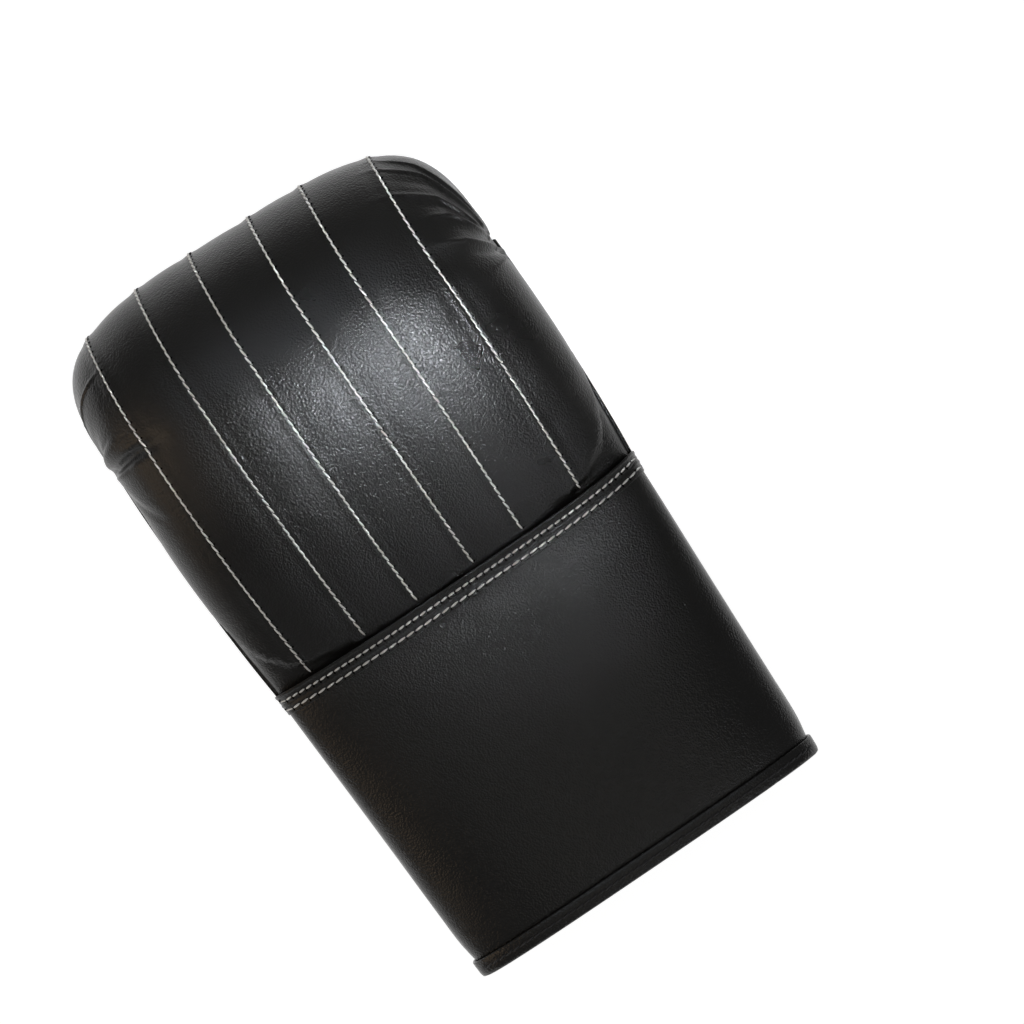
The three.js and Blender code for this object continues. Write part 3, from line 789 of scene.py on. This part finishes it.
# Wrist vent. A soft tongue closes the slit from inside, and a narrow leather facing with two
# rows of stitches runs down both sides of it from a point.
gusset = soft_copy("vent_gusset", "vent_tongue")
dress(gusset, leather, "leather", "vent_gusset")
facing = soft_copy("vent_facing", "vent_facing_strip", levels=2, crease=0.6)
dress(facing, leather, "leather", "vent_facing")
facing_tree = skin_tree(facing)
VENT_APEX_X = -2.04
VENT_ROWS = [  # left foot, apex and right foot as (mm across, mm from the hem)
    ((-3.8, 86), (VENT_APEX_X, 110), (4.6, 86)),
    ((-5.6, 86), (VENT_APEX_X, 116.5), (7.1, 86)),
]


def vent_row(corners):
    """A row up one side of the vent and down the other, found on the facing from below."""
    places = []
    for (x0, y0), (x1, y1) in zip(corners, corners[1:]):
        for k in range(30):
            x, y = blend(x0, x1, k / 30), blend(y0, y1, k / 30)
            places.append(from_below(facing_tree, x * MM, HEM_Y + y * MM))
    return places


sew("vent_stitches", [vent_row(corners) for corners in VENT_ROWS], thread, "leather", pitch=3.0)

# Seam band. A narrow strip of leather with a folded upper edge, sewn down in two rows over the
# joint between the cuff and the back pad.
UPPER_ROW, LOWER_ROW = 127.6, 123.8  # the stitch rows' distance from the hem
BAND_GROOVES = [  # mm from the hem, depth, which is negative for the folded edge, and width
    (125.8, 0.45, 0.7),
    (UPPER_ROW, 0.25, 0.6),
    (LOWER_ROW, 0.25, 0.6),
    (129.9, -0.25, 0.7),
]


def band_fold(point, normal):
    """The folded edge, two shallow dips under the stitch rows and a groove between them."""
    from_hem = hem_distance(point)
    depth = sum(deep * mound(from_hem - place, width) for place, deep, width in BAND_GROOVES)
    depth += 0.1 * wave(point, 5, 41)
    outer = normal.z > 0 or abs(point.x) > 75 * MM
    return normal * (-depth * MM if outer else 0) + band_bow(point)


band = soft_copy("seam_band", "seam_band_strip", levels=3, crease=0.5)
sculpt(band, band_fold)
dress(band, leather, "binding", "seam_band")
band_tree = skin_tree(band)


def band_row(from_hem):
    """A row along the band, from above, bowed as the band is."""
    places = []
    for k in range(-99, 100):
        flat = Vector((k * 0.81 * MM, HEM_Y + from_hem * MM, 0))
        bowed = flat + band_bow(flat)
        places.append(from_above(band_tree, bowed.x, bowed.y))
    return places


sew("band_upper_stitches", [band_row(UPPER_ROW)], thread, "binding", 3.2, length=0.9, turned=6)
sew("band_lower_stitches", [band_row(LOWER_ROW)], thread, "binding", 3.9, length=0.95, turned=6)

# Hem binding. A strip of smooth leather folded round the opening and sewn through with dark
# thread.
HEM_ROW = 3.6  # mm from the opening
hem = soft_copy("hem_binding", "hem_binding_strip", levels=2, crease=0.4)
dress(hem, leather, "binding", "hem_binding")
hem_tree = skin_tree(hem)


def dark_thread():
    """Bonded polyester thread dyed near to black, a little paler than the leather."""
    material, tree = new_material("black_polyester_thread")
    surface = add_node(tree, "BsdfPrincipled", {"Base Color": linear("#2c2c2e"), "Roughness": 0.6})
    output = add_node(tree, "OutputMaterial")
    tree.links.new(surface.outputs["BSDF"], output.inputs["Surface"])
    return material


def hem_row(find):
    """A row round one side of the opening, found from above or from below."""
    return [find(hem_tree, k * 0.76 * MM, HEM_Y + HEM_ROW * MM) for k in range(-99, 100)]


hem_rows = [hem_row(from_above), hem_row(from_below)]
sew("hem_stitches", hem_rows, dark_thread(), "binding", pitch=3.2)

# Wrist elastic. A wide woven web of rubber and polyester, ribbed along the glove.


RIB = 1.3  # mm from one rib to the next


def elastic_web():
    """Woven elastic: charcoal polyester ribs over rubber, matt, with paler flecks of fibre."""
    material, tree = new_material("ribbed_elastic_web")
    place = add_node(tree, "TexCoord").outputs["Object"]
    ribs = add_node(
        tree,
        "TexWave",
        {"wave_type": "BANDS", "bands_direction": "X", "Scale": 1000 / RIB / 6.28 * 2},
        {"Vector": place},
    )
    flecks = add_node(tree, "TexNoise", {"Scale": 1500.0, "Detail": 2.0}, {"Vector": place})
    bump = add_node(
        tree, "Bump", {"Strength": 0.8, "Distance": 0.15 * MM}, {"Height": ribs.outputs["Fac"]}
    )
    fibre = add_node(
        tree,
        "Bump",
        {"Strength": 0.6, "Distance": 0.1 * MM},
        {"Height": flecks.outputs["Fac"], "Normal": bump.outputs["Normal"]},
    )
    shade = add_node(
        tree,
        "Mix",
        {"data_type": "RGBA", 6: linear("#151517"), 7: linear("#2e2e31")},
        {0: flecks.outputs["Fac"]},
    )
    surface = add_node(
        tree,
        "BsdfPrincipled",
        {"Roughness": 0.9, "Sheen Weight": 0.2},
        {"Base Color": shade.outputs[2], "Normal": fibre.outputs["Normal"]},
    )
    output = add_node(tree, "OutputMaterial")
    tree.links.new(surface.outputs["BSDF"], output.inputs["Surface"])
    return material


elastic = soft_copy("wrist_elastic", "wrist_elastic_web", levels=2)
dress(elastic, elastic_web(), "elastic", "wrist_elastic")

# The studio. A table that glows white, a narrow key on the fist, a panel each over fist and cuff,
# fills in front of the hem and at the far side, and the camera straight above, turned so that the
# glove points up and to the left.
bpy.ops.mesh.primitive_plane_add(size=6, location=(0, 0, -0.0004))
floor = bpy.context.object
floor.name = "table"
paper, paper_tree = new_material("backlit_opal_acrylic")
paper_surface = add_node(
    paper_tree,
    "BsdfPrincipled",
    {
        "Base Color": linear("#8c8c8c"),
        "Roughness": 0.8,
        "Emission Color": linear("#ffffff"),
        "Emission Strength": 0.95,
    },
)
paper_output = add_node(paper_tree, "OutputMaterial")
paper_tree.links.new(paper_surface.outputs["BSDF"], paper_output.inputs["Surface"])
floor.data.materials.append(paper)


def soft_light(name, place, aim, size, power, colour, spread=180):
    """A square lamp of size metres that glows towards aim, over a spread of so many degrees."""
    lamp = bpy.data.lights.new(name, "AREA")
    lamp.size = size
    lamp.spread = math.radians(spread)
    lamp.energy = power
    lamp.color = linear(colour)[:3]
    light = bpy.data.objects.new(name, lamp)
    light.location = place
    light.rotation_mode = "QUATERNION"
    light.rotation_quaternion = (Vector(aim) - Vector(place)).to_track_quat("-Z", "Y")
    bpy.context.scene.collection.objects.link(light)


soft_light("key_snoot", (0.154, -0.444, 1.16), (0.04, 0.105, 0.06), 0.12, 0.088, "#f2f7ff", 13)
soft_light("fist_panel", (-0.05, 0.3, 1.1), (0, 0.09, 0.08), 0.5, 1.0, "#eef6ff")
soft_light("cuff_panel", (0.02, -0.62, 1.5), (0, -0.08, 0.03), 0.5, 0.5, "#fff8ea")
soft_light("front_fill", (0.25, -1.1, 0.95), (0.02, 0.02, 0.05), 0.3, 0.85, "#f8faff")
soft_light("far_side_fill", (-1.4, 0.1, 0.9), (0, 0, 0.04), 0.8, 2.7, "#ffdcb4")

world = bpy.data.worlds.new("studio")
world.use_nodes = True
world.node_tree.nodes["Background"].inputs["Color"].default_value = (1, 1, 1, 1)
world.node_tree.nodes["Background"].inputs["Strength"].default_value = 0.16
bpy.context.scene.world = world
bpy.context.scene.view_settings.view_transform = "Standard"

AIM = Vector((0.031, -0.0031, 0.0))  # under the middle of the picture
TURN = math.radians(34.1)  # the glove's axis leans this far to the left
PICTURE_WIDTH = 0.379  # at the height of the glove's outline
OUTLINE_Z = 0.045
DISTANCE = 1.2
camera_data = bpy.data.cameras.new("camera")
camera = bpy.data.objects.new("camera", camera_data)
bpy.context.scene.collection.objects.link(camera)
camera_data.sensor_width = 36
camera_data.lens = 36 * DISTANCE / PICTURE_WIDTH
camera.location = AIM + Vector((0, 0, OUTLINE_Z + DISTANCE))
camera.rotation_euler = (0, 0, -TURN)
bpy.context.scene.camera = camera
